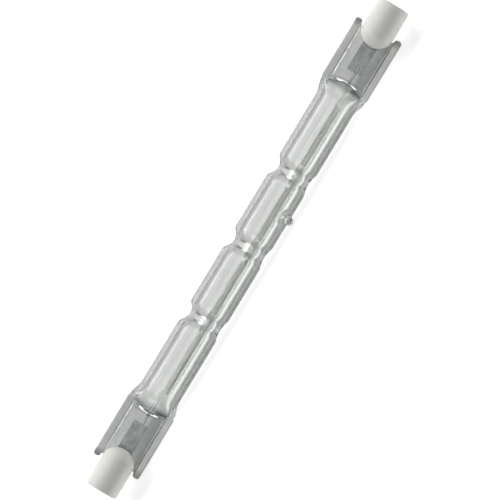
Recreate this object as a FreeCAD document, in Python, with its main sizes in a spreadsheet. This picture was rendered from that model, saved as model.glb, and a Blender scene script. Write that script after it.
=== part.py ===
import FreeCAD, Part
import Sketcher
import math
import os

# Double-ended linear halogen bulb, about 118 mm long, lying as it comes to rest.
# The lamp's axis is X with end B at +X, Z is up, and the origin is the light centre on the axis.
# Each sub-part is drawn unturned, with the flats of the pinch seals facing Z, and is then rolled
# about X until the tube and one rim of each seal touch the same level surface.
# Units are millimetres and degrees.

SIZES = [
    # Blown tube and its three squeezed constrictions
    ("tube_radius", 4.5, "outside radius of the quartz tube"),
    ("wall", 1.0, "wall of the quartz tube"),
    ("squeeze_spacing", 17.7, "from one constriction to the next"),
    ("squeeze_length", 5.6, "length of a constriction along the tube"),
    ("waist_length", 1.2, "evenly squeezed stretch in the middle of a constriction"),
    ("waist_play", 0.25, "room between the coil and the glass at a waist, which holds the coil in place"),
    ("squeeze_angle", 40.0, "turn of the jaws from the flats of the seals"),
    # Flared shoulders and pinch seals
    ("flare_length", 3.7, "length over which the round tube flattens into the seal"),
    ("seal_length", 13.7, "from the start of the rims to the outer end of the web"),
    ("shoulder_half", 2.6, "outside half thickness of the glass where the rims begin"),
    ("shoulder_inset", 0.25, "how far the rims stand out beyond the shoulder on each side"),
    ("bore_reach", 1.9, "how far the rounded gas space reaches past the start of the rims"),
    ("ear_length", 0.9, "how far the rims reach past the web, as ears beside the cap"),
    ("seal_width", 11.0, "width across both rims"),
    ("rim_width", 1.6, "width of one rim"),
    ("rim_thickness", 4.2, "thickness of a rim"),
    ("rim_round", 0.6, "rounding of the rim's edges"),
    ("web_thickness", 1.6, "thickness of the web"),
    # Exhaust pip
    ("pip_place", 9.2, "place of the pip along the tube"),
    ("pip_angle", 55.0, "turn of the pip from the flats of the seals"),
    ("pip_base_radius", 2.0, "radius of the pip's flared foot in the middle of the wall"),
    ("pip_tip_radius", 0.8, "radius of its melted round tip"),
    ("pip_height", 2.0, "height of the pip above the tube"),
    ("pip_bore_radius", 0.55, "radius of the exhaust hole through the wall"),
    ("pip_bore_tip", 0.15, "radius where the exhaust hole is melted shut"),
    # Filament, leads and foils
    ("coil_clearance", 5.5, "from the end of the filament's coil to the apex of the gas space"),
    ("coil_radius", 0.75, "outside radius of the coil"),
    ("filament_wire", 0.2, "diameter of the filament's wire"),
    ("coil_drop", 0.9, "how far the coil lies to one side of the axis"),
    ("tail_length", 1.4, "length of the tight turns that grip the inner lead"),
    ("lead_play", 0.1, "from the end of the coil to the tip of the inner lead"),
    ("lead_drop", 0.35, "how far the inner lead lies to one side of the axis"),
    ("inner_lead_radius", 0.25, "radius of the inner lead"),
    ("foil_gap", 2.3, "glass between the gas space and the foil"),
    ("foil_margin", 1.0, "glass between the foil and the outer end of the web"),
    ("foil_width", 3.3, "width of the foil"),
    ("foil_thickness", 0.06, "thickness of the foil"),
    ("weld_length", 1.5, "overlap of a lead on the foil"),
    ("outer_lead_radius", 0.3, "radius of the outer lead"),
    # Ceramic caps, cement and contacts
    ("overall_half", 58.8, "half of the length over both caps"),
    ("cap_radius", 3.6, "radius of the ceramic cap"),
    ("cap_length", 10.1, "length of the cap from the crown of its dome"),
    ("dome_drop", 2.5, "length of the cap's domed inner end"),
    ("cap_round", 0.35, "rounding of the cap's outer rim"),
    ("mouth_round", 0.15, "rounding of the recess's mouth"),
    ("slot_depth", 3.5, "depth of the slot for the web, from the crown of the dome"),
    ("slot_gap", 0.15, "cement layer between the web and the slot of the cap"),
    ("slot_end_gap", 0.2, "cement layer beyond the end of the web"),
    ("cement_reach", 2.0, "how far the cement reaches over the web"),
    ("cement_width", 5.2, "width of the cement"),
    ("lead_hole_radius", 0.5, "radius of the lead's hole in the cap"),
    ("recess_radius", 2.1, "radius of the contact recess"),
    ("recess_depth", 1.7, "depth of the recess down to the contact's face"),
    ("contact_radius", 1.85, "radius of the contact's head"),
    ("contact_gap", 0.05, "play round the head in its seat"),
    ("contact_thickness", 0.8, "thickness of the contact's head"),
    ("contact_round", 0.2, "rounding of the head's front edge"),
    ("shank_radius", 0.95, "radius of the contact's crimped shank"),
    ("shank_length", 2.2, "length of the shank"),
    ("shank_gap", 0.05, "play round the shank in the cap"),
    ("lead_grip", 0.4, "how far the outer lead reaches into the contact's head"),
]

# What follows from the driving sizes. Both ends are laid out inwards from the ends of the caps.
FOLLOWING = [
    ("cap_crown", "overall_half - cap_length", "crown of the cap's dome"),
    ("slot_end", "cap_crown + slot_depth", "bottom of the cap's slot"),
    ("web_end", "slot_end - slot_end_gap", "outer end of the web between the rims"),
    ("ear_end", "web_end + ear_length", "outer end of the rims"),
    ("cement_start", "web_end - cement_reach", "inner edge of the cement"),
    ("seal_start", "web_end - seal_length", "where the rims of the pinch seal begin"),
    ("flare_start", "seal_start - flare_length", "where the round tube begins to flatten"),
    ("bore_end", "seal_start + bore_reach", "apex of the rounded end of the gas space"),
    ("foil_start", "bore_end + foil_gap", "inner end of the foil"),
    ("foil_end", "web_end - foil_margin", "outer end of the foil"),
    ("inner_weld_end", "foil_start + weld_length", "tip of the inner lead on the foil"),
    ("outer_weld_start", "foil_end - weld_length", "tip of the outer lead on the foil"),
    ("coil_half", "bore_end - coil_clearance", "half length of the filament's coil"),
    ("lead_start", "coil_half + lead_play", "tip of the inner lead in the filament's tail"),
    ("contact_face", "overall_half - recess_depth", "face of the contact"),
    ("head_seat", "contact_face - contact_thickness", "back of the contact's head"),
    ("shank_end", "head_seat - shank_length", "inner end of the contact's shank"),
    ("lead_tip", "head_seat + lead_grip", "tip of the outer lead in the contact"),
    ("bore_radius", "tube_radius - wall", "inside radius of the quartz tube"),
    ("waist_bore_half", "coil_radius + waist_play", "half thickness of the gas space at a waist"),
    ("waist_half", "waist_bore_half + wall", "outside half thickness at a waist"),
    ("squeeze_shift", "coil_drop * sin(squeeze_angle)", "how far a waist lies off the axis, at the coil"),
    ("seal_half", "seal_width / 2", "half width across both rims"),
    ("shoulder_reach", "seal_half - shoulder_inset", "half width of the shoulder at the rims"),
    ("web_reach", "seal_half - rim_width", "half width of the web between the rims"),
    ("shoulder_bore_half", "shoulder_half - wall", "half thickness of the gas space at the rims"),
    ("nose_end", "bore_end + wall", "tip of the shoulder's rounded nose on the web"),
    ("rim_half", "rim_thickness / 2", "half thickness of a rim"),
    ("web_face", "web_thickness / 2", "half thickness of the web"),
    ("foil_face", "foil_thickness / 2", "half thickness of the foil"),
    ("slot_face", "web_face + slot_gap", "half width of the cap's slot"),
    ("hole_step", "shank_end - shank_gap", "step in the hole through the cap"),
    ("shank_bore", "shank_radius + shank_gap", "radius of the hole round the shank"),
    ("seat_radius", "contact_radius + contact_gap", "radius of the seat round the contact's head"),
    ("dome_radius", "(cap_radius ^ 2 + dome_drop ^ 2) / (2 * dome_drop)", "radius of the cap's dome"),
    ("pip_foot", "tube_radius - wall / 2", "foot of the pip, in the middle of the wall"),
    ("pip_neck", "tube_radius + pip_height - pip_tip_radius", "where the pip's round tip begins"),
    ("pip_hole_foot", "bore_radius - wall / 2", "start of the exhaust hole, inside the gas space"),
    # The lamp rests on its tube and on the rounded lower edge of one rim of each seal
    ("edge_across", "seal_half - rim_round", "centre of a rim's edge rounding, across the seal"),
    ("edge_up", "rim_half - rim_round", "centre of a rim's edge rounding, off the web"),
    ("edge_reach", "sqrt(edge_across ^ 2 + edge_up ^ 2)", "centre of the rounding, from the axis"),
    (
        "rest_roll",
        "asin((tube_radius - rim_round) / edge_reach) - atan2(edge_up; edge_across)",
        "turn of the seals about the axis where the lamp lies still",
    ),
]

# Counts of cross-sections in the drawn glass, and the sweep of its rounded ends
SQUEEZE_STEPS = 4
FLARE_STEPS = 5
NOSE_STEPS = 6
PIP_STEPS = 4
PIP_TIP_STEPS = 4
NOSE_SWEEP = 78.0

# Two lengths closer than this are the same length
TOUCH = 1e-6

# What both ends share is drawn at end B. Half a turn about Y brings it to end A.
ENDS = (("a", 180), ("b", 0))

doc = FreeCAD.newDocument("linear_halogen_bulb")
sheet = doc.addObject("Spreadsheet::Sheet", "sizes")
cells = [(alias, str(number), note) for alias, number, note in SIZES]
cells += [(alias, "=" + formula, note) for alias, formula, note in FOLLOWING]
for row, (alias, content, note) in enumerate(cells, start=1):
    sheet.set("A%d" % row, note)
    sheet.set("B%d" % row, content)
    sheet.setAlias("B%d" % row, alias)
doc.recompute()


def value(expression):
    """The plain number that an expression on the sheet gives."""
    result = sheet.evalExpression(expression)
    return getattr(result, "Value", result)


def ease(share):
    """A smooth rise from 0 to 1 as the share goes from 0 to 1."""
    return (1 - math.cos(math.pi * share)) / 2


def turned(feature, roll="0", half_turn=0):
    """Places a feature: half a turn about Y for end A, and then a roll about X."""
    feature.setExpression(
        "Placement",
        "placement(vector(0; 0; 0); rotation(vector(1; 0; 0); %s) * rotation(vector(0; 1; 0); %d))"
        % (roll, half_turn),
    )
    return feature


def ellipse_across(name, along, across, thick, lift="0"):
    """A cross-section of the glass at X = along: half width in Y, half thickness and lift in Z."""
    section = doc.addObject("Part::Ellipse", name)
    section.MajorRadius = value(across)
    section.MinorRadius = value(thick)
    section.Placement.Rotation = FreeCAD.Rotation(FreeCAD.Vector(1, 1, 1), 120)
    section.setExpression("MajorRadius", across)
    section.setExpression("MinorRadius", thick)
    section.setExpression("Placement.Base.x", along)
    section.setExpression("Placement.Base.z", lift)
    return section


def loft(name, sections):
    """A smooth solid through cross-sections."""
    body = doc.addObject("Part::Loft", name)
    body.Sections = sections
    body.Solid = True
    body.Ruled = False
    return body


def rod(name, radius, start, end, aside="0"):
    """A round bar along X from start to end, with its centre at Y = aside."""
    bar = doc.addObject("Part::Cylinder", name)
    bar.Placement.Rotation = FreeCAD.Rotation(FreeCAD.Vector(0, 1, 0), 90)
    bar.setExpression("Radius", radius)
    bar.setExpression("Height", "%s - (%s)" % (end, start))
    bar.setExpression("Placement.Base.x", start)
    bar.setExpression("Placement.Base.y", aside)
    return bar


def block(name, x_range, y_range, z_range):
    """A rectangular bar between pairs of expressions."""
    box = doc.addObject("Part::Box", name)
    for size, axis, (low, high) in zip(
        ("Length", "Width", "Height"), "xyz", (x_range, y_range, z_range)
    ):
        box.setExpression(size, "%s - (%s)" % (high, low))
        box.setExpression("Placement.Base." + axis, low)
    return box


def fused(name, shapes):
    joined = doc.addObject("Part::MultiFuse", name)
    joined.Shapes = shapes
    joined.Refine = False
    return joined


def cut(name, base, tool):
    rest = doc.addObject("Part::Cut", name)
    rest.Base = base
    rest.Tool = tool
    rest.Refine = False
    return rest


def sketch_on(body, name, role):
    """A sketch on one of the body's own origin planes."""
    sketch = body.newObject("Sketcher::SketchObject", name)
    plane = [feature for feature in body.Origin.OriginFeatures if feature.Role == role][0]
    sketch.AttachmentSupport = [(plane, "")]
    sketch.MapMode = "FlatFace"
    return sketch


def draw_outline(sketch, corners, arc_radius=None):
    """A closed outline through corners, counter-clockwise, each a pair of expressions.

    With an arc radius, the last side, back to the first corner, is an arc that bulges outward.
    """
    spots = [FreeCAD.Vector(value(x), value(y), 0) for x, y in corners]
    last = len(spots) - 1
    for index, spot in enumerate(spots[:-1]):
        sketch.addGeometry(Part.LineSegment(spot, spots[index + 1]))
    if arc_radius is None:
        sketch.addGeometry(Part.LineSegment(spots[last], spots[0]))
    else:
        chord = spots[0] - spots[last]
        outward = FreeCAD.Vector(chord.y, -chord.x, 0).normalize()
        radius = value(arc_radius)
        rise = radius - math.sqrt(radius ** 2 - (chord.Length / 2) ** 2)
        middle = (spots[0] + spots[last]) / 2 + outward * rise
        sketch.addGeometry(Part.Arc(spots[last], middle, spots[0]))
    for index in range(len(spots)):
        following = (index + 1) % len(spots)
        sketch.addConstraint(Sketcher.Constraint("Coincident", index, 2, following, 1))
    for index, (spot, corner) in enumerate(zip(spots, corners)):
        for direction, distance, expression in zip(("DistanceX", "DistanceY"), spot, corner):
            bound = sketch.addConstraint(
                Sketcher.Constraint(direction, -1, 1, index, 1, distance)
            )
            sketch.setExpression("Constraints[%d]" % bound, expression)
    if arc_radius is not None:
        bound = sketch.addConstraint(Sketcher.Constraint("Radius", last, value(arc_radius)))
        sketch.setExpression("Constraints[%d]" % bound, arc_radius)


def revolved(body, name, sketch):
    """The outline turned all the way round the lamp's axis."""
    turn = body.newObject("PartDesign::Revolution", name)
    turn.Profile = sketch
    turn.ReferenceAxis = (sketch, ["H_Axis"])
    turn.Angle = 360
    sketch.Visibility = False
    return turn


def rim_edges(shape, along, radius):
    """Names of the round edges of a shape at a place along X with a radius."""
    names = []
    for number, edge in enumerate(shape.Edges, start=1):
        if edge.Degenerated or not isinstance(edge.Curve, Part.Circle):
            continue
        in_place = abs(edge.Curve.Center.x - along) < TOUCH
        if in_place and abs(edge.Curve.Radius - radius) < TOUCH:
            names.append("Edge%d" % number)
    return names


def rounded(body, name, base, along, edge_radius, radius):
    """A fillet on the round edges of a body at a place along X."""
    doc.recompute()
    fillet = body.newObject("PartDesign::Fillet", name)
    fillet.Base = (base, rim_edges(base.Shape, value(along), value(edge_radius)))
    fillet.setExpression("Radius", radius)
    return fillet


def constriction(name, centre, radius, waist):
    """The outside or the bore of one constriction, as a loft that two opposed jaws squeeze."""
    sections = []
    stations = [(-1, step) for step in range(SQUEEZE_STEPS, -1, -1)]
    stations += [(1, step) for step in range(SQUEEZE_STEPS + 1)]
    for side, step in stations:
        share = step / SQUEEZE_STEPS
        squeeze = ease(1 - share)
        along = "%s + %d * (sizes.waist_length + (sizes.squeeze_length - sizes.waist_length) * %.6f) / 2" % (
            centre,
            side,
            share,
        )
        thick = "%s - (%s - %s) * %.6f" % (radius, radius, waist, squeeze)
        lift = "-sizes.squeeze_shift * %.6f" % squeeze
        sections.append(ellipse_across(name + "_section", along, radius, thick, lift))
    return turned(loft(name, sections), roll="-sizes.squeeze_angle")


def flare(name, radius, wide, thick):
    """The outside or the bore of a shoulder, from the round tube to the start of the rims."""
    sections = []
    for step in range(FLARE_STEPS + 1):
        share = step / FLARE_STEPS
        along = "sizes.flare_start + (sizes.seal_start - sizes.flare_start) * %.6f" % share
        across = "%s + (%s - %s) * %.6f" % (radius, wide, radius, ease(share))
        height = "%s - (%s - %s) * %.6f" % (radius, radius, thick, ease(share))
        sections.append(ellipse_across(name + "_section", along, across, height))
    return loft(name, sections)


def nose(name, wide, thick, tip):
    """The rounded end of a shoulder over the web, a quarter of an ellipse from above."""
    sections = []
    for step in range(NOSE_STEPS + 1):
        angle = math.radians(NOSE_SWEEP * step / NOSE_STEPS)
        along = "sizes.seal_start + (%s - sizes.seal_start) * %.6f" % (tip, math.sin(angle))
        across = "%s * %.6f" % (wide, math.cos(angle))
        height = "%s * %.6f" % (thick, math.cos(angle))
        sections.append(ellipse_across(name + "_section", along, across, height))
    return loft(name, sections)


def rim(name, side):
    """One rim of an I-shaped seal, pressed with all its edges round."""
    span = ("sizes.web_reach", "sizes.seal_half") if side > 0 else ("-sizes.seal_half", "-sizes.web_reach")
    bar = block(
        name + "_bar", ("sizes.seal_start", "sizes.ear_end"), span, ("-sizes.rim_half", "sizes.rim_half")
    )
    doc.recompute()
    radius = value("sizes.rim_round")
    pressed = doc.addObject("Part::Fillet", name)
    pressed.Base = bar
    pressed.Edges = [(number + 1, radius, radius) for number in range(len(bar.Shape.Edges))]
    return pressed


def seal(end, half_turn):
    """One end of the envelope: flared shoulder, rounded nose, web and two rims."""
    web = block(
        "web_" + end,
        ("sizes.seal_start", "sizes.web_end"),
        ("-(sizes.seal_width - sizes.rim_width) / 2", "(sizes.seal_width - sizes.rim_width) / 2"),
        ("-sizes.web_face", "sizes.web_face"),
    )
    pieces = [
        flare("shoulder_" + end, "sizes.tube_radius", "sizes.shoulder_reach", "sizes.shoulder_half"),
        nose("nose_" + end, "sizes.shoulder_reach", "sizes.shoulder_half", "sizes.nose_end"),
        web,
        rim("upper_rim_" + end, 1),
        rim("lower_rim_" + end, -1),
    ]
    return turned(fused("seal_" + end, pieces), half_turn=half_turn)


def bore_end(end, half_turn):
    """The flattened and rounded end of the gas space inside a shoulder."""
    thick = "sizes.shoulder_bore_half"
    pieces = [
        flare("shoulder_bore_" + end, "sizes.bore_radius", "sizes.web_reach", thick),
        nose("nose_bore_" + end, "sizes.web_reach", thick, "sizes.bore_end"),
    ]
    return turned(fused("bore_end_" + end, pieces), half_turn=half_turn)


def straight_spans(name, radius):
    """The four round chambers between the shoulders and the constrictions."""
    edges = ["-sizes.flare_start"]
    for place in (-1, 0, 1):
        edges.append("%d * sizes.squeeze_spacing - sizes.squeeze_length / 2" % place)
        edges.append("%d * sizes.squeeze_spacing + sizes.squeeze_length / 2" % place)
    edges.append("sizes.flare_start")
    return [
        rod("%s_%d" % (name, number + 1), radius, edges[2 * number], edges[2 * number + 1])
        for number in range(len(edges) // 2)
    ]


def drawn_out(name, foot, foot_radius, neck, neck_radius):
    """A round stem that narrows from a flared foot to its neck and ends in a round tip."""
    sections = []
    for step in range(PIP_STEPS + 1):
        share = step / PIP_STEPS
        along = "%s + (%s - %s) * %.6f" % (foot, neck, foot, share)
        radius = "%s + (%s - %s) * %.6f" % (neck_radius, foot_radius, neck_radius, (1 - share) ** 2)
        sections.append(ellipse_across(name + "_section", along, radius, radius))
    for step in range(1, PIP_TIP_STEPS + 1):
        angle = math.radians(NOSE_SWEEP * step / PIP_TIP_STEPS)
        along = "%s + %s * %.6f" % (neck, neck_radius, math.sin(angle))
        radius = "%s * %.6f" % (neck_radius, math.cos(angle))
        sections.append(ellipse_across(name + "_section", along, radius, radius))
    stem = loft(name, sections)
    stem.setExpression(
        "Placement",
        "placement(vector(sizes.pip_place; 0; 0);"
        " rotation(vector(1; 0; 0); sizes.pip_angle) * rotation(vector(0; 1; 0); -90))",
    )
    return stem


def exhaust_pip():
    """The stub of the exhaust tube, drawn out and melted off, and the closed hole in it."""
    stub = drawn_out("pip", "sizes.pip_foot", "sizes.pip_base_radius", "sizes.pip_neck", "sizes.pip_tip_radius")
    hole = drawn_out(
        "pip_hole", "sizes.pip_hole_foot", "sizes.pip_bore_radius", "sizes.pip_neck", "sizes.pip_bore_tip"
    )
    return [stub], [hole]


def quartz_envelope(inserts):
    """The whole envelope, one piece of fused quartz, closed round the foils and leads."""
    pip, pip_bore = exhaust_pip()
    outside = straight_spans("chamber", "sizes.tube_radius") + pip
    inside = straight_spans("chamber_bore", "sizes.bore_radius") + pip_bore
    for place in (-1, 0, 1):
        centre = "%d * sizes.squeeze_spacing" % place
        label = "squeeze_%d" % (place + 2)
        outside.append(constriction(label, centre, "sizes.tube_radius", "sizes.waist_half"))
        inside.append(
            constriction(label + "_bore", centre, "sizes.bore_radius", "sizes.waist_bore_half")
        )
    for end, half_turn in ENDS:
        outside.append(seal(end, half_turn))
        inside.append(bore_end(end, half_turn))
    blown = cut("blown_glass", fused("glass_outside", outside), fused("gas_space", inside))
    turned(blown, "sizes.rest_roll")
    sealed_in = doc.addObject("Part::Compound", "sealed_in")
    sealed_in.Links = inserts
    return cut("quartz_envelope", blown, sealed_in)


def filament():
    """A long coil, drawn as its close sleeve, with a tight tail at each end for the inner lead."""
    aside = "-sizes.coil_drop"
    ends = ("-sizes.coil_half", "sizes.coil_half")
    sleeve = cut(
        "coil",
        rod("coil_outside", "sizes.coil_radius", ends[0], ends[1], aside),
        rod("coil_inside", "sizes.coil_radius - sizes.filament_wire", ends[0], ends[1], aside),
    )
    pieces = [sleeve]
    for end, half_turn in ENDS:
        start = "(sizes.coil_half - sizes.filament_wire)"
        finish = "(sizes.coil_half + sizes.tail_length)"
        grip = "sizes.inner_lead_radius"
        tail = cut(
            "tail_" + end,
            rod("tail_outside_" + end, grip + " + sizes.filament_wire", start, finish, "-sizes.lead_drop"),
            rod("tail_inside_" + end, grip, start, finish, "-sizes.lead_drop"),
        )
        pieces.append(turned(tail, half_turn=half_turn))
    return turned(fused("filament", pieces), "sizes.rest_roll")


def foil(end, half_turn):
    """A molybdenum foil in the middle of the web."""
    body = doc.addObject("PartDesign::Body", "foil_" + end)
    strip = sketch_on(body, "foil_outline_" + end, "XY_Plane")
    half = "sizes.foil_width / 2"
    draw_outline(
        strip,
        [
            ("sizes.foil_start", "-" + half),
            ("sizes.foil_end", "-" + half),
            ("sizes.foil_end", half),
            ("sizes.foil_start", half),
        ],
    )
    rolled = body.newObject("PartDesign::Pad", "foil_sheet_" + end)
    rolled.Profile = strip
    rolled.Midplane = True
    rolled.setExpression("Length", "sizes.foil_thickness")
    strip.Visibility = False
    return turned(body, "sizes.rest_roll", half_turn)


def flattened_lead(name, half_turn, radius, span, weld, aside):
    """A wire along X, ground flat where it is welded on the face of the foil."""
    wire = rod(name + "_wire", radius, span[0], span[1], aside)
    flat = block(
        name + "_flat",
        weld,
        ("%s - %s" % (aside, radius), "%s + %s" % (aside, radius)),
        ("-" + radius, "sizes.foil_face"),
    )
    return turned(cut(name, wire, flat), "sizes.rest_roll", half_turn)


def inner_lead(end, half_turn):
    """A tungsten wire from the filament's tail to the foil."""
    return flattened_lead(
        "inner_lead_" + end,
        half_turn,
        "sizes.inner_lead_radius",
        ("sizes.lead_start", "sizes.inner_weld_end"),
        ("sizes.foil_start", "sizes.inner_weld_end"),
        "-sizes.lead_drop",
    )


def outer_lead(end, half_turn):
    """A molybdenum wire from the foil to the contact."""
    return flattened_lead(
        "outer_lead_" + end,
        half_turn,
        "sizes.outer_lead_radius",
        ("sizes.outer_weld_start", "sizes.lead_tip"),
        ("sizes.outer_weld_start", "sizes.foil_end"),
        "0",
    )


def ceramic_cap(end, half_turn):
    """A steatite cap: domed inner end, slot for the web, stepped hole, contact seat and recess."""
    body = doc.addObject("PartDesign::Body", "ceramic_cap_" + end)
    profile = sketch_on(body, "cap_profile_" + end, "XY_Plane")
    draw_outline(
        profile,
        [
            ("sizes.cap_crown", "0"),
            ("sizes.slot_end", "0"),
            ("sizes.slot_end", "sizes.lead_hole_radius"),
            ("sizes.hole_step", "sizes.lead_hole_radius"),
            ("sizes.hole_step", "sizes.shank_bore"),
            ("sizes.head_seat", "sizes.shank_bore"),
            ("sizes.head_seat", "sizes.seat_radius"),
            ("sizes.contact_face", "sizes.seat_radius"),
            ("sizes.contact_face", "sizes.recess_radius"),
            ("sizes.overall_half", "sizes.recess_radius"),
            ("sizes.overall_half", "sizes.cap_radius"),
            ("sizes.cap_crown + sizes.dome_drop", "sizes.cap_radius"),
        ],
        arc_radius="sizes.dome_radius",
    )
    turning = revolved(body, "cap_turning_" + end, profile)
    rim_fillet = rounded(
        body, "cap_rim_" + end, turning, "sizes.overall_half", "sizes.cap_radius", "sizes.cap_round"
    )
    mouth = rounded(
        body, "cap_mouth_" + end, rim_fillet, "sizes.overall_half", "sizes.recess_radius", "sizes.mouth_round"
    )
    slot_sketch = sketch_on(body, "slot_profile_" + end, "XZ_Plane")
    draw_outline(
        slot_sketch,
        [
            ("sizes.cap_crown - sizes.slot_depth", "-sizes.slot_face"),
            ("sizes.slot_end", "-sizes.slot_face"),
            ("sizes.slot_end", "sizes.slot_face"),
            ("sizes.cap_crown - sizes.slot_depth", "sizes.slot_face"),
        ],
    )
    slot = body.newObject("PartDesign::Pocket", "slot_" + end)
    slot.Profile = slot_sketch
    slot.Type = "ThroughAll"
    slot.Midplane = True
    slot_sketch.Visibility = False
    doc.recompute()
    if not slot.Shape.Volume < mouth.Shape.Volume:
        raise RuntimeError("the slot of the cap removed nothing")
    return turned(body, "sizes.rest_roll", half_turn)


def contact(end, half_turn):
    """A nickel contact: a flat head in the recess and a shank crimped on the outer lead."""
    body = doc.addObject("PartDesign::Body", "contact_" + end)
    profile = sketch_on(body, "contact_profile_" + end, "XY_Plane")
    draw_outline(
        profile,
        [
            ("sizes.lead_tip", "0"),
            ("sizes.contact_face", "0"),
            ("sizes.contact_face", "sizes.contact_radius"),
            ("sizes.head_seat", "sizes.contact_radius"),
            ("sizes.head_seat", "sizes.shank_radius"),
            ("sizes.shank_end", "sizes.shank_radius"),
            ("sizes.shank_end", "sizes.outer_lead_radius"),
            ("sizes.lead_tip", "sizes.outer_lead_radius"),
        ],
    )
    turning = revolved(body, "contact_turning_" + end, profile)
    rounded(
        body, "contact_edge_" + end, turning, "sizes.contact_face", "sizes.contact_radius", "sizes.contact_round"
    )
    return turned(body, "sizes.rest_roll", half_turn)


def cement(end, half_turn):
    """The set cement round the end of the web, in the slot of the cap."""
    half = "sizes.cement_width / 2"
    filling = block(
        "cement_filling_" + end,
        ("sizes.cement_start", "sizes.slot_end"),
        ("-" + half, half),
        ("-sizes.slot_face", "sizes.slot_face"),
    )
    web_space = block(
        "web_space_" + end,
        ("sizes.cement_start", "sizes.web_end"),
        ("-" + half, half),
        ("-sizes.web_face", "sizes.web_face"),
    )
    lead_space = rod("lead_space_" + end, "sizes.outer_lead_radius", "sizes.web_end", "sizes.slot_end")
    spaces = fused("cement_spaces_" + end, [web_space, lead_space])
    return turned(cut("cement_" + end, filling, spaces), "sizes.rest_roll", half_turn)


sealed_inserts = []
nodes = [filament()]
for end, half_turn in ENDS:
    sealed_inserts += [foil(end, half_turn), inner_lead(end, half_turn), outer_lead(end, half_turn)]
    nodes += [ceramic_cap(end, half_turn), contact(end, half_turn), cement(end, half_turn)]
nodes += sealed_inserts
nodes.append(quartz_envelope(sealed_inserts))
doc.recompute()

for feature in doc.Objects:
    if "Invalid" in feature.State or "Error" in feature.State:
        raise RuntimeError("%s failed to build: %s" % (feature.Label, feature.State))
for node in nodes:
    if node.Shape.isNull() or not node.Shape.isValid() or len(node.Shape.Solids) != 1:
        raise RuntimeError("%s is not one sound solid" % node.Label)

os.makedirs("parts", exist_ok=True)
for node in nodes:
    node.Shape.exportStep("parts/%s.step" % node.Label)
    box = node.Shape.BoundBox
    print(
        "%-16s volume %8.2f mm3, X %7.2f to %7.2f, Y %6.2f to %6.2f, Z %6.2f to %6.2f"
        % (node.Label, node.Shape.Volume, box.XMin, box.XMax, box.YMin, box.YMax, box.ZMin, box.ZMax)
    )
print("rolled by %.2f degrees" % value("sizes.rest_roll"))
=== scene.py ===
import bpy
import math
import numpy as np
from mathutils import Matrix


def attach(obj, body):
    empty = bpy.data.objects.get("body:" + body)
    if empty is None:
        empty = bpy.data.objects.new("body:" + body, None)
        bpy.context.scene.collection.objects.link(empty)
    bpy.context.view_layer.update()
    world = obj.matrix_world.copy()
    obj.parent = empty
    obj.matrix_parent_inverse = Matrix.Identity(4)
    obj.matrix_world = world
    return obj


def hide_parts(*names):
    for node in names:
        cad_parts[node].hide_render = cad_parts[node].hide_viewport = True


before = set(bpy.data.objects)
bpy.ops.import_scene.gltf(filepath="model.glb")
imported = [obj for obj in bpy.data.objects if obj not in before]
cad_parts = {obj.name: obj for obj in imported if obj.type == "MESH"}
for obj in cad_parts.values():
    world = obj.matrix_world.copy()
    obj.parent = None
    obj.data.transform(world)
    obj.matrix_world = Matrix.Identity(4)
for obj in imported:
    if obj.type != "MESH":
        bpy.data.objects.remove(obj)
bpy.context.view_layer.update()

# Quartz envelope
# A tube of clear fused quartz, squeezed hot at three places that hold the filament, drawn off at the
# exhaust pip, and pressed flat at both ends into seals with an I-shaped section.
MM = 0.001
TUBE_RADIUS = 4.5
BORE_RADIUS = 3.5
SQUEEZE_CENTRES = (-17.7, 0.0, 17.7)
SQUEEZE_FLAT = 0.3
SQUEEZE_REACH = 2.8
WAIST_HALF = 2.0
WAIST_BORE_HALF = 1.0
SQUEEZE_TURN = math.radians(40)
SQUEEZE_SHIFT = 0.58
FLARE_START = 34.6
SEAL_START = 38.3
SHOULDER_REACH = 5.25
SHOULDER_HALF = 2.6
SHOULDER_BORE_REACH = 3.9
SHOULDER_BORE_HALF = 1.6
NOSE_LENGTH = 2.3
BORE_NOSE_LENGTH = 1.3
WEB_HALF = 0.8
WEB_END = 52.0
WEB_SWELL = (1.5, 0.55)
WEB_FILLET = (0.35, 0.35)
RIM_FACE = 0.02
SWELL_END = (45.5, 48.5)
RIM_OUTER = 5.5
RIM_INNER = 3.9
RIM_HALF = 2.1
RIM_ROUND = 0.6
EAR_END = 52.9
MELT = 0.3
PIP_PLACE = 9.2
PIP_TURN = math.radians(55)
PIP_HEIGHT = 1.9
PIP_TIP = 0.9
PIP_FOOT = 2.2
PIP_BEND = 1.8
CHANNEL_HEIGHT = 0.8
CHANNEL_TIP = 0.15
CHANNEL_FOOT = 1.0
CHANNEL_BEND = 3.0
QUARTER = 40
BORE_AROUND = 96

# All sizes are millimetres, drawn with the flats of the seals facing Z. The lamp is then rolled until
# its tube and one rim of each seal touch the table.
rim_core_outer = RIM_OUTER - RIM_ROUND
rim_core_inner = RIM_INNER + RIM_ROUND
rim_core_half = RIM_HALF - RIM_ROUND
edge_reach = math.hypot(rim_core_outer, rim_core_half)
edge_turn = math.atan2(rim_core_half, rim_core_outer)
REST_ROLL = math.asin((TUBE_RADIUS - RIM_ROUND) / edge_reach) - edge_turn


def rolled(points):
    """Points in millimetres, drawn unturned, brought to the lamp's rest and to metres."""
    points = np.asarray(points, float)
    y = points[:, 1] * math.cos(REST_ROLL) - points[:, 2] * math.sin(REST_ROLL)
    z = points[:, 1] * math.sin(REST_ROLL) + points[:, 2] * math.cos(REST_ROLL)
    return np.stack([points[:, 0], y, z], axis=1) * MM


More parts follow.
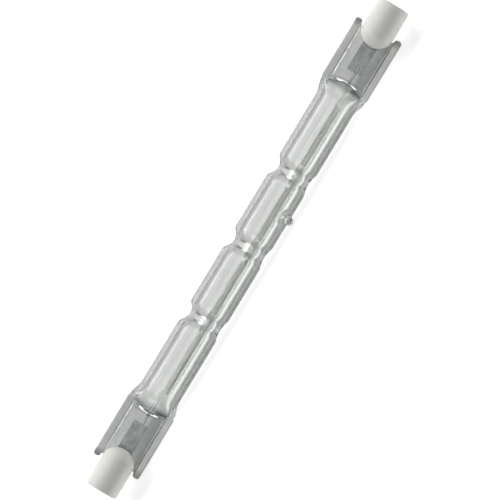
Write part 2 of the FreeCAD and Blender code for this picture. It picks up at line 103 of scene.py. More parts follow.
def mesh_piece(name, points, faces, material, smooth_angle=None):
    """A finished piece at the origin, smooth all over or up to an angle."""
    mesh = bpy.data.meshes.new(name)
    mesh.from_pydata([tuple(p) for p in points], [], [tuple(int(i) for i in f) for f in faces])
    mesh.validate()
    mesh.polygons.foreach_set("use_smooth", [True] * len(mesh.polygons))
    if smooth_angle is not None:
        mesh.set_sharp_from_angle(angle=math.radians(smooth_angle))
    mesh.materials.append(material)
    piece = bpy.data.objects.new(name, mesh)
    bpy.context.scene.collection.objects.link(piece)
    return piece


def ease(share):
    """A share from 0 to 1 that starts and stops gently."""
    return (1 - math.cos(math.pi * min(max(share, 0.0), 1.0))) / 2


def squeeze_at(x):
    """How far the jaws have closed at a place along the tube, from 0 to 1."""
    gap = min(abs(x - centre) for centre in SQUEEZE_CENTRES)
    return ease(1 - (gap - SQUEEZE_FLAT) / (SQUEEZE_REACH - SQUEEZE_FLAT))


def squeezed_ring(x, radius, waist, angles):
    """A section of the tube or its bore, flattened at a constriction across the jaws."""
    closed = squeeze_at(x)
    own = angles + SQUEEZE_TURN
    y = radius * np.cos(own)
    z = -SQUEEZE_SHIFT * closed + (radius - (radius - waist) * closed) * np.sin(own)
    cos, sin = math.cos(SQUEEZE_TURN), math.sin(SQUEEZE_TURN)
    return y * cos + z * sin, z * cos - y * sin


def melted(a, b):
    """The greater of two heights, with a melted fillet where they meet."""
    overlap = np.maximum(MELT - np.abs(a - b), 0)
    return np.maximum(a, b) + overlap ** 2 / (4 * MELT)


def shoulder_size(x):
    """Half width and half thickness of the shoulder and of its rounded nose."""
    if x <= SEAL_START:
        flat = ease((x - FLARE_START) / (SEAL_START - FLARE_START))
        return (
            TUBE_RADIUS + (SHOULDER_REACH - TUBE_RADIUS) * flat,
            TUBE_RADIUS - (TUBE_RADIUS - SHOULDER_HALF) * flat,
        )
    left = math.sqrt(max(0.0, 1 - ((x - SEAL_START) / NOSE_LENGTH) ** 2))
    return SHOULDER_REACH * left, SHOULDER_HALF * left


def seal_height(x, y):
    """Half thickness of the glass over a point of the shoulder, web or rim."""
    wide, thick = shoulder_size(x)
    shoulder = thick * np.sqrt(np.maximum(0, 1 - (y / wide) ** 2)) if wide > 0 else 0 * y
    if x < SEAL_START:
        return shoulder
    beyond = max(0.0, RIM_ROUND - (x - SEAL_START))
    across = np.abs(y - (rim_core_outer + rim_core_inner) / 2) - (rim_core_outer - rim_core_inner) / 2
    across = np.maximum(0, across)
    left = RIM_ROUND ** 2 - across ** 2 - beyond ** 2
    rim = np.where(left >= -1e-9, rim_core_half + np.sqrt(np.maximum(left, 0)), 0)
    foot = RIM_INNER - RIM_FACE
    near_cap = ease((x - SWELL_END[0]) / (SWELL_END[1] - SWELL_END[0]))
    reach, height = (a + (b - a) * near_cap for a, b in zip(WEB_SWELL, WEB_FILLET))
    fillet_top = WEB_HALF + height
    into = np.clip((y - (foot - reach)) / reach, 0, 1)
    web = fillet_top - height * np.sqrt(1 - into ** 2)
    rise = fillet_top + (rim_core_half - fillet_top) * np.clip((y - foot) / RIM_FACE, 0, 1)
    web = np.where(y > foot, rise, web)
    return melted(shoulder, np.maximum(web, rim))


steps = np.arange(QUARTER + 1)
corner = np.radians(90 * np.arange(9) / 8)
seal_across = np.concatenate(
    [
        rim_core_outer + RIM_ROUND * np.cos(corner),
        [(rim_core_outer + rim_core_inner) / 2],
        rim_core_inner - RIM_ROUND * np.sin(corner),
        [RIM_INNER - RIM_FACE / 2, RIM_INNER - RIM_FACE],
        RIM_INNER - RIM_FACE - WEB_FILLET[0] * (1 - np.cos(np.radians([25, 45, 62, 77, 90]))),
    ]
)
web_steps = QUARTER + 1 - len(seal_across)
web_across = seal_across[-1] * (1 - np.arange(1, web_steps + 1) / web_steps)
seal_across = np.concatenate([seal_across, web_across])
# The first points of a section lie on the rim, which runs on past the web as an ear
EAR_FOOT = 18
tube_angles = 2 * math.pi * np.arange(4 * QUARTER) / (4 * QUARTER)


def whole_ring(y, z):
    """A closed ring from its first quarter, from the widest point to the middle of the flat."""
    y_half = np.concatenate([y, -y[-2::-1]])
    z_half = np.concatenate([z, z[-2::-1]])
    return np.concatenate([y_half, y_half[-2:0:-1]]), np.concatenate([z_half, -z_half[-2:0:-1]])


def outside_ring(x):
    """The outer section of the glass at a place along the lamp."""
    place = abs(x)
    if place <= FLARE_START:
        return squeezed_ring(x, TUBE_RADIUS, WAIST_HALF, tube_angles)
    blend = ease((place - FLARE_START) / (SEAL_START - FLARE_START))
    share = (1 - blend) * np.cos(steps * math.pi / 2 / QUARTER) + blend * seal_across / RIM_OUTER
    reach = shoulder_size(place)[0]
    if place >= SEAL_START:
        beyond = max(0.0, RIM_ROUND - (place - SEAL_START))
        reach = max(reach, rim_core_outer + math.sqrt(RIM_ROUND ** 2 - beyond ** 2))
    y = reach * share
    z = seal_height(place, y)
    z[0] = 0
    return whole_ring(y, z)


def spaced(start, stop, step):
    """Even places from start to stop, at most a step apart."""
    return np.linspace(start, stop, max(2, int(math.ceil(abs(stop - start) / step)) + 1))


# Places of the sections along the lamp, closer together where the wall bends
end_stations = np.concatenate(
    [
        spaced(FLARE_START, SEAL_START - 0.15, 0.17),
        [SEAL_START - 0.06, SEAL_START - 0.005],
        SEAL_START + RIM_ROUND * (1 - np.cos(np.radians([3, 15, 27, 40, 53, 66, 78, 90]))),
        spaced(SEAL_START + RIM_ROUND + 0.1, SEAL_START + NOSE_LENGTH - 0.3, 0.12),
        SEAL_START + NOSE_LENGTH - np.array([0.22, 0.15, 0.09, 0.04, 0.01, -0.03, -0.2]),
        spaced(SEAL_START + NOSE_LENGTH + 0.8, WEB_END, 0.8),
    ]
)
straight_stations = np.arange(-34, 35, 1.0)
middle_stations = np.concatenate(
    [spaced(-SQUEEZE_REACH, SQUEEZE_REACH, 0.16) + centre for centre in SQUEEZE_CENTRES]
    + [spaced(PIP_PLACE - PIP_FOOT - 0.2, PIP_PLACE + PIP_FOOT + 0.2, 0.13)]
    + [straight_stations]
)
stations = np.concatenate([-end_stations, middle_stations, end_stations])
stations = np.unique(np.round(stations, 4))
stations = stations[np.concatenate([[True], np.diff(stations) > 0.004])]


def drawn_profile(neck, tip_height, foot_radius, foot_bend):
    """Outline of a stem from its round tip to its flared foot: distances out, heights, lengths."""
    turn = np.linspace(0, math.pi / 2, 12)
    fall = np.linspace(0, 1, 30)[1:]
    out = np.concatenate([neck * np.sin(turn), neck + (foot_radius - neck) * fall])
    up = np.concatenate(
        [tip_height - neck * (1 - np.cos(turn)), (tip_height - neck) * (1 - fall) ** foot_bend]
    )
    length = np.concatenate([[0], np.cumsum(np.hypot(np.diff(out), np.diff(up)))])
    return out, up, length


def draw_out(points, radius, profile):
    """Draws the wall round the pip's place out into a stem, without a seam."""
    out, up, length = profile
    foot_radius = out[-1]
    outward = np.array([-math.sin(PIP_TURN), math.cos(PIP_TURN)])
    sideways = np.array([math.cos(PIP_TURN), math.sin(PIP_TURN)])
    along = points[:, 0] - PIP_PLACE
    aside = points[:, 1:] @ sideways
    distance = np.hypot(along, aside)
    near = (distance < foot_radius) & (points[:, 1:] @ outward > 0)
    share = distance[near] / foot_radius * length[-1]
    new_distance = np.interp(share, length, out)
    height = np.interp(share, length, up)
    scale = new_distance / np.maximum(distance[near], 1e-9)
    new_aside = aside[near] * scale
    rise = np.sqrt(radius ** 2 - new_aside ** 2) + height
    points[near, 0] = PIP_PLACE + along[near] * scale
    points[near, 1:] = new_aside[:, None] * sideways + rise[:, None] * outward
    return points


def swept(rings, around):
    """Faces of a sheet through equal rings, with its outside facing out."""
    faces = []
    for row in range(rings - 1):
        low, high = row * around, (row + 1) * around
        for k in range(around):
            following = (k + 1) % around
            faces.append((low + k, low + following, high + following, high + k))
    return faces


around = 4 * QUARTER
outside = []
for x in stations:
    y, z = outside_ring(x)
    outside.append(np.stack([np.full(around, x), y, z], axis=1))
pip_profile = drawn_profile(PIP_TIP, PIP_HEIGHT, PIP_FOOT, PIP_BEND)
outside = draw_out(np.concatenate(outside), TUBE_RADIUS, pip_profile)
points = [outside]
faces = swept(len(stations), around)
count = len(outside)
ear_rings = [(EAR_END - RIM_ROUND, RIM_ROUND)]
for angle in (15, 30, 45, 58, 70, 82):
    reach = RIM_ROUND * math.cos(math.radians(angle))
    ear_rings.append((EAR_END - RIM_ROUND + RIM_ROUND * math.sin(math.radians(angle)), reach))
for first, end in ((0, -1), (len(stations) - 1, 1)):
    base = first * around
    upper = [base + k for k in range(EAR_FOOT, 2 * QUARTER - EAR_FOOT + 1)]
    lower = [base + (around - k) % around for k in range(EAR_FOOT, 2 * QUARTER - EAR_FOOT + 1)]
    for k in range(len(upper) - 1):
        face = (upper[k], upper[k + 1], lower[k + 1], lower[k])
        faces.append(face if end > 0 else face[::-1])
    for side in (1, -1):
        top = [k if side > 0 else 2 * QUARTER - k for k in range(EAR_FOOT + 1)]
        loop = [base + k for k in top] + [base + (around - k) % around for k in top[:0:-1]]
        for x, reach in ear_rings:
            y = np.concatenate(
                [
                    rim_core_outer + reach * np.cos(corner),
                    [(rim_core_outer + rim_core_inner) / 2],
                    rim_core_inner - reach * np.sin(corner),
                ]
            )
            z = rim_core_half + reach * np.concatenate([np.sin(corner), [1.0], np.cos(corner)])
            z[0] = 0
            y_loop = np.concatenate([y, y[:0:-1]])
            z_loop = np.concatenate([z, -z[:0:-1]])
            points.append(np.stack([np.full(len(y_loop), end * x), side * y_loop, z_loop], axis=1))
            new_loop = list(range(count, count + len(y_loop)))
            count += len(y_loop)
            for k in range(len(loop)):
                following = (k + 1) % len(loop)
                face = (loop[k], loop[following], new_loop[following], new_loop[k])
                faces.append(face if side * end > 0 else face[::-1])
            loop = new_loop
        for k in range(EAR_FOOT):
            low_k = (len(loop) - k) % len(loop)
            low_next = len(loop) - k - 1
            face = (loop[k], loop[k + 1], loop[low_next], loop[low_k])
            if len(set(face)) == 3:
                face = (loop[k], loop[k + 1], loop[low_next])
            faces.append(face if side * end > 0 else face[::-1])

bore_angles = 2 * math.pi * np.arange(BORE_AROUND) / BORE_AROUND
nose_angles = np.radians([12, 24, 36, 48, 58, 67, 74, 80, 85, 88])
bore_end_stations = np.concatenate(
    [spaced(FLARE_START, SEAL_START, 0.2), SEAL_START + BORE_NOSE_LENGTH * np.sin(nose_angles)]
)
bore_stations = np.concatenate(
    [
        -bore_end_stations,
        *(spaced(-SQUEEZE_REACH, SQUEEZE_REACH, 0.2) + centre for centre in SQUEEZE_CENTRES),
        spaced(PIP_PLACE - 1.3, PIP_PLACE + 1.3, 0.13),
        straight_stations,
        bore_end_stations,
    ]
)
bore_stations = np.unique(np.round(bore_stations, 4))


def bore_ring(x):
    """The section of the gas space at a place along the lamp."""
    place = abs(x)
    if place <= FLARE_START:
        return squeezed_ring(x, BORE_RADIUS, WAIST_BORE_HALF, bore_angles)
    if place <= SEAL_START:
        flat = ease((place - FLARE_START) / (SEAL_START - FLARE_START))
        wide = BORE_RADIUS + (SHOULDER_BORE_REACH - BORE_RADIUS) * flat
        thick = BORE_RADIUS - (BORE_RADIUS - SHOULDER_BORE_HALF) * flat
    else:
        left = math.sqrt(max(0.0, 1 - ((place - SEAL_START) / BORE_NOSE_LENGTH) ** 2))
        wide, thick = SHOULDER_BORE_REACH * left, SHOULDER_BORE_HALF * left
    return wide * np.cos(bore_angles), thick * np.sin(bore_angles)


bore = []
for x in bore_stations:
    y, z = bore_ring(x)
    bore.append(np.stack([np.full(BORE_AROUND, x), y, z], axis=1))
channel_profile = drawn_profile(CHANNEL_TIP, CHANNEL_HEIGHT, CHANNEL_FOOT, CHANNEL_BEND)
bore = draw_out(np.concatenate(bore), BORE_RADIUS, channel_profile)
points.append(bore)
faces += [tuple(count + i for i in face[::-1]) for face in swept(len(bore_stations), BORE_AROUND)]
last_ring = count + (len(bore_stations) - 1) * BORE_AROUND
tip = SEAL_START + BORE_NOSE_LENGTH
points.append(np.array([[-tip, 0, 0], [tip, 0, 0]]))
poles = (count + len(bore), count + len(bore) + 1)
for k in range(BORE_AROUND):
    following = (k + 1) % BORE_AROUND
    faces.append((poles[0], count + k, count + following))
    faces.append((poles[1], last_ring + following, last_ring + k))


def linear(code):
    """Linear colour from an sRGB hex code."""
    parts = [int(code[i:i + 2], 16) / 255 for i in (1, 3, 5)]
    return tuple(c / 12.92 if c <= 0.04045 else ((c + 0.055) / 1.055) ** 2.4 for c in parts) + (1.0,)


def add(tree, kind, inputs=None, **settings):
    """A node with its settings. Each input gets a plain value, or a link from a socket."""
    node = tree.nodes.new(kind)
    for name, setting in settings.items():
        setattr(node, name, setting)
    for name, source in (inputs or {}).items():
        if isinstance(source, bpy.types.NodeSocket):
            tree.links.new(source, node.inputs[name])
        else:
            node.inputs[name].default_value = source
    return node


def new_material(name):
    """An empty material with its output, and a coordinate node for patterns in metres."""
    material = bpy.data.materials.new(name)
    material.use_nodes = True
    tree = material.node_tree
    tree.nodes.clear()
    output = add(tree, "ShaderNodeOutputMaterial")
    place = add(tree, "ShaderNodeTexCoord").outputs["Object"]
    return material, tree, output, place


# Clear fused quartz, drawn as tubing and fire polished, so faint streaks run along it. Worked glass is
# rougher, and the jaws left the seals uneven. The seals are tinted a mottled grey as painted shade, with a
# darker painted shadow across the lower half of each web beside the foil and painted shade on the tips,
# and all the glass darkens towards its grazing edges as painted dark outlines. Lamps shine straight
# through it, and so does light mirrored twice in its wall.
PRESSED_FADE = (SEAL_START - 1.2, SEAL_START + 0.6)
SHADE_INNER_FADE = (-0.9, -1.8)
SHADE_OUTER_FADE = (-4.1, -3.7)
SHADE_TIP_FADE = (50.8, 52.4)
WAIST_FADE = (2.8, 1.0)
PIP_FADE = (2.4, 1.6)
JAW_FADE = (35.2, 38.0)

fused_quartz, tree, output, place = new_material("fused_quartz")
drawn_place = add(tree, "ShaderNodeMapping", {"Vector": place, "Scale": (0.04, 1.0, 1.0)})
streaks = add(
    tree,
    "ShaderNodeTexNoise",
    {"Vector": drawn_place.outputs["Vector"], "Scale": 1600.0, "Detail": 1.0},
)
ripple = add(tree, "ShaderNodeTexNoise", {"Vector": place, "Scale": 260.0, "Detail": 1.0})
waves = add(
    tree,
    "ShaderNodeMath",
    {0: streaks.outputs["Fac"], 1: 0.25, 2: ripple.outputs["Fac"]},
    operation="MULTIPLY_ADD",
)
along_lamp = add(tree, "ShaderNodeSeparateXYZ", {"Vector": place})
end_distance = add(tree, "ShaderNodeMath", {0: along_lamp.outputs["X"]}, operation="ABSOLUTE")
pressed = add(
    tree,
    "ShaderNodeMapRange",
    {"Value": end_distance.outputs[0], "From Min": PRESSED_FADE[0] * MM, "From Max": PRESSED_FADE[1] * MM},
)
jaw_marks = add(
    tree, "ShaderNodeTexNoise", {"Vector": place, "Scale": 1100.0, "Detail": 3.0}
)
marks = add(
    tree, "ShaderNodeMath", {0: jaw_marks.outputs["Fac"], 1: pressed.outputs["Result"]}, operation="MULTIPLY"
)
unevenness = add(
    tree, "ShaderNodeMath", {0: marks.outputs[0], 1: 1.5, 2: waves.outputs[0]}, operation="MULTIPLY_ADD"
)
relief = add(tree, "ShaderNodeBump", {"Height": unevenness.outputs[0], "Strength": 0.07, "Distance": 0.2 * MM})
# Painted shade: the seals' clear glass is tinted grey to stand in for the shade seen through it; the mottle in
# the grey follows the jaw marks
mottled_seal_shade = add(
    tree,
    "ShaderNodeMix",
    {"Factor": jaw_marks.outputs["Fac"], 6: linear("#B6B8B7"), 7: linear("#DFE1E0")},
    data_type="RGBA",
)
# Painted shadow: a darker grey band across the lower half of each web, beside the foil, and painted shade on
# the tips of the ears
across_flats = add(
    tree,
    "ShaderNodeVectorMath",
    {0: place, 1: (0.0, math.cos(REST_ROLL), math.sin(REST_ROLL))},
    operation="DOT_PRODUCT",
)
band_start = add(
    tree,
    "ShaderNodeMapRange",
    {
        "Value": across_flats.outputs["Value"],
        "From Min": SHADE_INNER_FADE[0] * MM,
        "From Max": SHADE_INNER_FADE[1] * MM,
        "To Max": 0.5,
    },
)
band_end = add(
    tree,
    "ShaderNodeMapRange",
    {
        "Value": across_flats.outputs["Value"],
        "From Min": SHADE_OUTER_FADE[0] * MM,
        "From Max": SHADE_OUTER_FADE[1] * MM,
    },
)
painted_shadow_band = add(tree, "ShaderNodeMath", {0: band_start.outputs[0], 1: band_end.outputs[0]}, operation="MULTIPLY")
painted_shade_tips = add(
    tree,
    "ShaderNodeMapRange",
    {"Value": end_distance.outputs[0], "From Min": SHADE_TIP_FADE[0] * MM, "From Max": SHADE_TIP_FADE[1] * MM},
)
painted_shade_mask = add(tree, "ShaderNodeMath", {0: painted_shadow_band.outputs[0], 1: painted_shade_tips.outputs[0]}, operation="MAXIMUM")
# The painted shadow colour is mixed into the seals' glass here
flats_with_painted_shade = add(
    tree,
    "ShaderNodeMix",
    {"Factor": painted_shade_mask.outputs[0], 6: mottled_seal_shade.outputs[2], 7: linear("#8E908F")},
    data_type="RGBA",
)
body = add(
    tree,
    "ShaderNodeMix",
    {"Factor": pressed.outputs["Result"], 6: linear("#F7F8F7"), 7: flats_with_painted_shade.outputs[2]},
    data_type="RGBA",
)
half_chamber = SQUEEZE_CENTRES[-1] / 2 * MM
from_waist = add(tree, "ShaderNodeMath", {0: end_distance.outputs[0], 1: half_chamber}, operation="PINGPONG")
squeezed = add(
    tree,
    "ShaderNodeMapRange",
    {
        "Value": from_waist.outputs[0],
        "From Min": WAIST_FADE[0] * MM,
        "From Max": WAIST_FADE[1] * MM,
        "To Max": 0.18,
    },
)
pip_root = [PIP_PLACE, -TUBE_RADIUS * math.sin(PIP_TURN), TUBE_RADIUS * math.cos(PIP_TURN)]
from_pip = add(tree, "ShaderNodeVectorMath", {0: place, 1: tuple(rolled([pip_root])[0])}, operation="DISTANCE")
drawn_off = add(
    tree,
    "ShaderNodeMapRange",
    {
        "Value": from_pip.outputs["Value"],
        "From Min": PIP_FADE[0] * MM,
        "From Max": PIP_FADE[1] * MM,
        "To Max": 0.3,
    },
)
jaw_dull = add(
    tree,
    "ShaderNodeMapRange",
    {
        "Value": end_distance.outputs[0],
        "From Min": JAW_FADE[0] * MM,
        "From Max": JAW_FADE[1] * MM,
        "To Min": 0.02,
        "To Max": 0.1,
    },
)
worked = add(tree, "ShaderNodeMath", {0: squeezed.outputs[0], 1: drawn_off.outputs[0]}, operation="MAXIMUM")
roughness = add(tree, "ShaderNodeMath", {0: worked.outputs[0], 1: jaw_dull.outputs[0]}, operation="MAXIMUM")
# Painted shade: the glass colour darkens towards near black where the surface turns away, as painted dark
# outlines
slant = add(tree, "ShaderNodeLayerWeight", {"Blend": 0.5})
edge = add(tree, "ShaderNodeMath", {0: slant.outputs["Facing"], 1: 2.0}, operation="POWER")
painted_edge_shade = add(tree, "ShaderNodeMath", {0: edge.outputs[0], 1: 0.5}, operation="MULTIPLY")
tint_and_painted_shade = add(
    tree,
    "ShaderNodeMix",
    {"Factor": painted_edge_shade.outputs[0], 6: body.outputs[2], 7: linear("#202221")},
    data_type="RGBA",
)
glass = add(
    tree,
    "ShaderNodeBsdfPrincipled",
    {
        "Base Color": tint_and_painted_shade.outputs[2],
        "Roughness": roughness.outputs[0],
        "IOR": 1.458,
        "Transmission Weight": 1.0,
        "Normal": relief.outputs["Normal"],
    },
)
clear = add(tree, "ShaderNodeBsdfTransparent", {"Color": linear("#F5F6F5")})
path = add(tree, "ShaderNodeLightPath")
lighting = add(
    tree,
    "ShaderNodeMath",
    {0: path.outputs["Is Shadow Ray"], 1: path.outputs["Is Diffuse Ray"]},
    operation="MAXIMUM",
)
trapped = add(tree, "ShaderNodeMath", {0: path.outputs["Glossy Depth"], 1: 1.5}, operation="GREATER_THAN")
straight = add(tree, "ShaderNodeMath", {0: lighting.outputs[0], 1: trapped.outputs[0]}, operation="MAXIMUM")
look = add(
    tree,
    "ShaderNodeMixShader",
    {0: straight.outputs[0], 1: glass.outputs["BSDF"], 2: clear.outputs["BSDF"]},
)
tree.links.new(look.outputs["Shader"], output.inputs["Surface"])
depth = add(tree, "ShaderNodeVolumeAbsorption", {"Color": linear("#E2E3E2"), "Density": 160.0})
tree.links.new(depth.outputs["Volume"], output.inputs["Volume"])

envelope = mesh_piece("fused_quartz_envelope", rolled(np.concatenate(points)), faces, fused_quartz)
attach(envelope, "root")
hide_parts("quartz_envelope")

# Sealing foils
# Rolled molybdenum, pinched in the middle of each web, which carries the current through the glass.
# Fine rolling lines run along it, and the heat of sealing has left it a soft mottled grey.
molybdenum, tree, output, place = new_material("rolled_molybdenum")
rolling = add(tree, "ShaderNodeMapping", {"Vector": place, "Scale": (0.06, 1.0, 1.0)})
lines = add(
    tree,
    "ShaderNodeTexNoise",
    {"Vector": rolling.outputs["Vector"], "Scale": 9000.0, "Detail": 2.0},
)
mottle = add(tree, "ShaderNodeTexNoise", {"Vector": place, "Scale": 900.0, "Detail": 4.0})
patches = add(tree, "ShaderNodeMapRange", {"Value": mottle.outputs["Fac"], "From Min": 0.35, "From Max": 0.65})
shade = add(
    tree,
    "ShaderNodeMix",
    {"Factor": patches.outputs["Result"], 6: linear("#787A79"), 7: linear("#909291")},
    data_type="RGBA",
)
relief = add(tree, "ShaderNodeBump", {"Height": lines.outputs["Fac"], "Strength": 0.35, "Distance": 0.02 * MM})
gloss = add(tree, "ShaderNodeMapRange", {"Value": mottle.outputs["Fac"], "To Min": 0.5, "To Max": 0.58})
metal = add(
    tree,
    "ShaderNodeBsdfPrincipled",
    {
        "Base Color": shade.outputs[2],
        "Metallic": 1.0,
        "Roughness": gloss.outputs["Result"],
        "Normal": relief.outputs["Normal"],
    },
)
tree.links.new(metal.outputs["BSDF"], output.inputs["Surface"])


def finish_node(name, material):
    """A carried-over solid takes a finish of its own."""
    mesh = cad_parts[name].data
    mesh.materials.clear()
    mesh.materials.append(material)


for end in ("a", "b"):
    finish_node("foil_" + end, molybdenum)
    finish_node("outer_lead_" + end, molybdenum)

# Filament and inner leads
# A long single coil of tungsten wire lies a little to one side of the axis, held by the waists of
# the tube. Its last turns close up and grip the straight tungsten leads.
WIRE = 0.12
COIL_PITCH = 0.27
COIL_RADIUS = 0.69
COIL_HALF = 34.7
COIL_ASIDE = -0.95
TAIL_END = 36.1
TAIL_RADIUS = 0.25 + WIRE / 2
TAIL_PITCH = 0.165
LEAD_ASIDE = -0.35
POINTS_PER_TURN = 20

# Drawn tungsten: the die leaves fine marks, so the bright grey wire glints unevenly
drawn_tungsten, tree, output, place = new_material("drawn_tungsten")
die_marks = add(tree, "ShaderNodeTexNoise", {"Vector": place, "Scale": 6000.0, "Detail": 2.0})
shade = add(
    tree,
    "ShaderNodeMix",
    {"Factor": die_marks.outputs["Fac"], 6: linear("#8C8B88"), 7: linear("#A5A4A0")},
    data_type="RGBA",
)
relief = add(
    tree, "ShaderNodeBump", {"Height": die_marks.outputs["Fac"], "Strength": 0.3, "Distance": 0.01 * MM}
)
metal = add(
    tree,
    "ShaderNodeBsdfPrincipled",
    {"Base Color": shade.outputs[2], "Metallic": 1.0, "Roughness": 0.12, "Normal": relief.outputs["Normal"]},
)
tree.links.new(metal.outputs["BSDF"], output.inputs["Surface"])
for end in ("a", "b"):
    finish_node("inner_lead_" + end, drawn_tungsten)

# Half of the coil's axis, from the middle out: place, distance aside, radius and turns so far. Its
# pitch is drawn coarser than real, so that the turns show.
half_turns = COIL_HALF / COIL_PITCH
axis_half = [
    (0.0, COIL_ASIDE, COIL_RADIUS, 0.0),
    (COIL_HALF - 0.3, COIL_ASIDE, COIL_RADIUS, half_turns - 0.3 / COIL_PITCH),
    (COIL_HALF - 0.05, COIL_ASIDE + 0.1, COIL_RADIUS - 0.04, half_turns),
    (COIL_HALF + 0.12, LEAD_ASIDE - 0.15, TAIL_RADIUS + 0.12, half_turns + 0.5),
    (COIL_HALF + 0.25, LEAD_ASIDE, TAIL_RADIUS, half_turns + 1.0),
]
last_place = TAIL_END - WIRE / 2
tail_turns = (last_place - COIL_HALF - 0.25) / TAIL_PITCH
axis_half.append((last_place, LEAD_ASIDE, TAIL_RADIUS, half_turns + 1.0 + tail_turns))
axis_points = [(-x, aside, radius, -turns) for x, aside, radius, turns in axis_half[:0:-1]] + axis_half
axis_mesh = bpy.data.meshes.new("filament_axis")
axis_edges = [(i, i + 1) for i in range(len(axis_points) - 1)]
axis_mesh.from_pydata([(x, aside, 0.0) for x, aside, _, _ in axis_points], axis_edges, [])
for name, column in (("coil_radius", 2), ("coil_turns", 3)):
    attribute = axis_mesh.attributes.new(name, "FLOAT", "POINT")
    attribute.data.foreach_set("value", [point[column] for point in axis_points])
coil = bpy.data.objects.new("tungsten_filament", axis_mesh)
bpy.context.scene.collection.objects.link(coil)

winding = bpy.data.node_groups.new("wind_wire_on_axis", "GeometryNodeTree")
winding.interface.new_socket("Geometry", in_out="INPUT", socket_type="NodeSocketGeometry")
sockets = {
    label: winding.interface.new_socket(label, in_out="INPUT", socket_type=kind).identifier
    for label, kind in (
        ("Point Count", "NodeSocketInt"),
        ("Wire Radius", "NodeSocketFloat"),
        ("Wire Sides", "NodeSocketInt"),
        ("Wire Material", "NodeSocketMaterial"),
    )
}
winding.interface.new_socket("Geometry", in_out="OUTPUT", socket_type="NodeSocketGeometry")
given = add(winding, "NodeGroupInput").outputs
axis_curve = add(winding, "GeometryNodeMeshToCurve", {"Mesh": given["Geometry"]})
fine_axis = add(
    winding, "GeometryNodeResampleCurve", {"Curve": axis_curve.outputs["Curve"], "Count": given["Point Count"]}
)
turns_so_far = add(winding, "GeometryNodeInputNamedAttribute", {"Name": "coil_turns"}, data_type="FLOAT")
wound_radius = add(winding, "GeometryNodeInputNamedAttribute", {"Name": "coil_radius"}, data_type="FLOAT")
wound_angle = add(
    winding, "ShaderNodeMath", {0: turns_so_far.outputs["Attribute"], 1: 2 * math.pi}, operation="MULTIPLY"
)
cosine = add(winding, "ShaderNodeMath", {0: wound_angle.outputs[0]}, operation="COSINE")
sine = add(winding, "ShaderNodeMath", {0: wound_angle.outputs[0]}, operation="SINE")
sideways, upwards = (
    add(
        winding,
        "ShaderNodeMath",
        {0: share.outputs[0], 1: wound_radius.outputs["Attribute"]},
        operation="MULTIPLY",
    )
    for share in (cosine, sine)
)
offset = add(winding, "ShaderNodeCombineXYZ", {"Y": sideways.outputs[0], "Z": upwards.outputs[0]})
helix = add(
    winding,
    "GeometryNodeSetPosition",
    {"Geometry": fine_axis.outputs["Curve"], "Offset": offset.outputs["Vector"]},
)
section = add(
    winding,
    "GeometryNodeCurvePrimitiveCircle",
    {"Resolution": given["Wire Sides"], "Radius": given["Wire Radius"]},
)
wire = add(
    winding,
    "GeometryNodeCurveToMesh",
    {"Curve": helix.outputs["Geometry"], "Profile Curve": section.outputs["Curve"], "Fill Caps": True},
)
smooth = add(winding, "GeometryNodeSetShadeSmooth", {"Geometry": wire.outputs["Mesh"]})
real = add(winding, "GeometryNodeRealizeInstances", {"Geometry": smooth.outputs["Geometry"]})
dressed = add(
    winding,
    "GeometryNodeSetMaterial",
    {"Geometry": real.outputs["Geometry"], "Material": given["Wire Material"]},
)
add(winding, "NodeGroupOutput", {"Geometry": dressed.outputs["Geometry"]})
modifier = coil.modifiers.new("winding", "NODES")
modifier.node_group = winding
modifier[sockets["Point Count"]] = int(2 * axis_points[-1][3] * POINTS_PER_TURN)
modifier[sockets["Wire Radius"]] = WIRE / 2
modifier[sockets["Wire Sides"]] = 6
modifier[sockets["Wire Material"]] = drawn_tungsten


def made_plain(piece):
    """The evaluated piece as a plain mesh, with its modifiers gone."""
    evaluated = piece.evaluated_get(bpy.context.evaluated_depsgraph_get())
    plain = bpy.data.meshes.new_from_object(evaluated)
    piece.modifiers.clear()
    piece.data = plain


made_plain(coil)
coil.data.transform(Matrix.Rotation(REST_ROLL, 4, "X") @ Matrix.Scale(MM, 4))
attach(coil, "root")
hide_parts("filament")

# Ceramic caps
# Pressed and fired steatite, cemented over the web of each seal: a plain cylinder with a domed inner
# end, a slot for the web, and a round recess at the outer end for the holder's contact pin.
CAP_RADIUS = 3.6
CAP_CROWN = 48.7
CAP_END = 58.8
DOME_DROP = 2.5
CAP_ROUND = 0.35
MOUTH_ROUND = 0.15
RECESS_RADIUS = 2.1
RECESS_FLOOR = 57.1
SEAT_RADIUS = 1.9
SEAT_FLOOR = 56.3
SHANK_BORE = 1.0
SHANK_STEP = 54.05
LEAD_HOLE = 0.5
SLOT_END = 52.2
SLOT_HALF = 0.95
CAP_AROUND = 128
CAP_CHAMFER = 0.08
CUT_SPARE = 1.0
HOLE_OVERLAP = 0.3
SMOOTH_ANGLE = 35

# Unglazed steatite: a warm white with faint clouds, a fine grain and a few darker specks
steatite, tree, output, place = new_material("fired_steatite")
grain = add(tree, "ShaderNodeTexNoise", {"Vector": place, "Scale": 4200.0, "Detail": 3.0})
cloud = add(tree, "ShaderNodeTexNoise", {"Vector": place, "Scale": 380.0, "Detail": 3.0})
specks = add(tree, "ShaderNodeTexVoronoi", {"Vector": place, "Scale": 1500.0})
body = add(
    tree,
    "ShaderNodeMix",
    {"Factor": cloud.outputs["Fac"], 6: linear("#E9E9E3"), 7: linear("#F2F2ED")},
    data_type="RGBA",
)
speck_mask = add(
    tree,
    "ShaderNodeMapRange",
    {"Value": specks.outputs["Distance"], "From Min": 0.05, "From Max": 0.16, "To Min": 0.5, "To Max": 0.0},
)
shade = add(
    tree,
    "ShaderNodeMix",
    {"Factor": speck_mask.outputs["Result"], 6: body.outputs[2], 7: linear("#CFCEC4")},
    data_type="RGBA",
)
